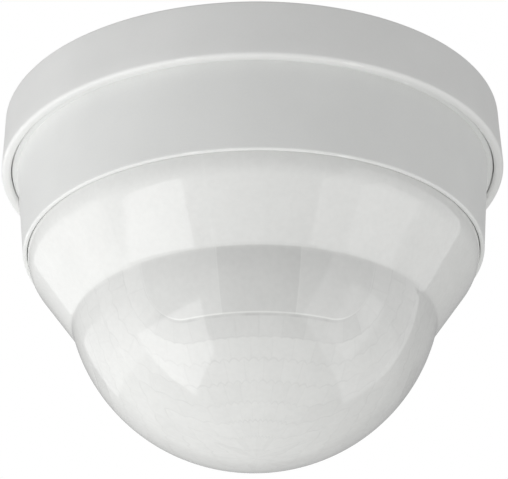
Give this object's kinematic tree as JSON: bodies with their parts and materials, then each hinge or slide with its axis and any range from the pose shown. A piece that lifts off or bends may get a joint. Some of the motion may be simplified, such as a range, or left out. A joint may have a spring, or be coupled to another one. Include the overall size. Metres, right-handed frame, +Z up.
{
  "type": "ceiling motion sensor",
  "caption": "Round white surface-mounted ceiling motion sensor: shallow back box, twist-lock detector head, and a pull-off cover of a plain ring with a faceted milky dome lens.",
  "frame": {"origin": "centre of the back box's flat face, which lies on the ceiling", "axes": "+Z up towards the ceiling, so the lens hangs towards -Z; -Y is the side seen in front; the cable entry is towards +Y and the two fixing slots are 30 mm either side along X"},
  "size_m": [0.101, 0.101, 0.0733],
  "materials": {
    "box_plastic": "fine satin moulded white",
    "ring_plastic": "fine satin moulded white",
    "lens_plastic": "glossy milky translucent polyethylene with prism facets inside",
    "inner_plastic": "matt moulded off-white",
    "chassis_plastic": "matt moulded light grey",
    "rubber_seal": "matt black rubber",
    "terminal_plastic": "matt grey",
    "circuit_board": "green lacquer over glass fibre",
    "black_plastic": "satin black",
    "film_capacitor": "satin yellow",
    "varistor_coat": "glossy blue dipped coat",
    "capacitor_sleeve": "dark shrink sleeve",
    "zinc_steel": "bright zinc plate",
    "can_metal": "nickel-plated can",
    "infrared_window": "dark infrared filter",
    "blue_dial": "satin blue",
    "orange_dial": "satin orange",
    "red_plastic": "satin red",
    "led_resin": "clear-tinted red resin",
    "clear_resin": "clear grey-blue resin"
  },
  "bodies": {
    "box": {"surface_mount_box": "box_plastic", "ceiling_gasket": "rubber_seal", "cable_grommet": "rubber_seal"},
    "head": {"board_connector": "black_plastic", "board_spacer_1": "inner_plastic", "board_spacer_2": "inner_plastic", "board_spacer_3": "inner_plastic", "dropper_capacitor": "film_capacitor", "fuse": "black_plastic", "head_chassis": "chassis_plastic", "head_screw_1": "zinc_steel", "head_screw_2": "zinc_steel", "head_screw_3": "zinc_steel", "heat_sensor_1": "can_metal", "heat_sensor_2": "can_metal", "heat_sensor_3": "can_metal", "heat_sensor_4": "can_metal", "heat_window_1": "infrared_window", "heat_window_2": "infrared_window", "heat_window_3": "infrared_window", "heat_window_4": "infrared_window", "inner_cover": "inner_plastic", "light_sensor": "clear_resin", "lux_dial_body": "black_plastic", "power_board": "circuit_board", "relay": "black_plastic", "sensor_board": "circuit_board", "sensor_turret": "black_plastic", "smoothing_capacitor": "capacitor_sleeve", "status_led": "led_resin", "terminal_block": "terminal_plastic", "terminal_screw_1": "zinc_steel", "terminal_screw_2": "zinc_steel", "terminal_screw_3": "zinc_steel", "terminal_screw_4": "zinc_steel", "test_switch_body": "black_plastic", "time_dial_body": "black_plastic", "varistor": "varistor_coat"},
    "cover": {"cover_ring": "ring_plastic", "fresnel_lens": "lens_plastic"},
    "lux_dial": {"lux_dial": "blue_dial"},
    "time_dial": {"time_dial": "orange_dial"},
    "test_button": {"test_button": "red_plastic"}
  },
  "joints": [
    {"name": "head_twist", "type": "hinge", "parent": "box", "child": "head", "pos_m": [0, 0, -0.0079], "axis": [0, 0, -1], "range_deg": [0, 15]},
    {"name": "cover_pull", "type": "slide", "parent": "head", "child": "cover", "axis": [0, 0, -1], "range_m": [0, 0.045]},
    {"name": "lux_dial_turn", "type": "hinge", "parent": "head", "child": "lux_dial", "pos_m": [-0.014, -0.027, -0.0297], "axis": [0, 0, -1], "range_deg": [-135, 135]},
    {"name": "time_dial_turn", "type": "hinge", "parent": "head", "child": "time_dial", "pos_m": [0.014, -0.027, -0.0297], "axis": [0, 0, -1], "range_deg": [-135, 135]},
    {"name": "test_button_press", "type": "slide", "parent": "head", "child": "test_button", "axis": [0, 0, 1], "range_m": [0, 0.0006], "stiffness_N_per_m": 400}
  ]
}
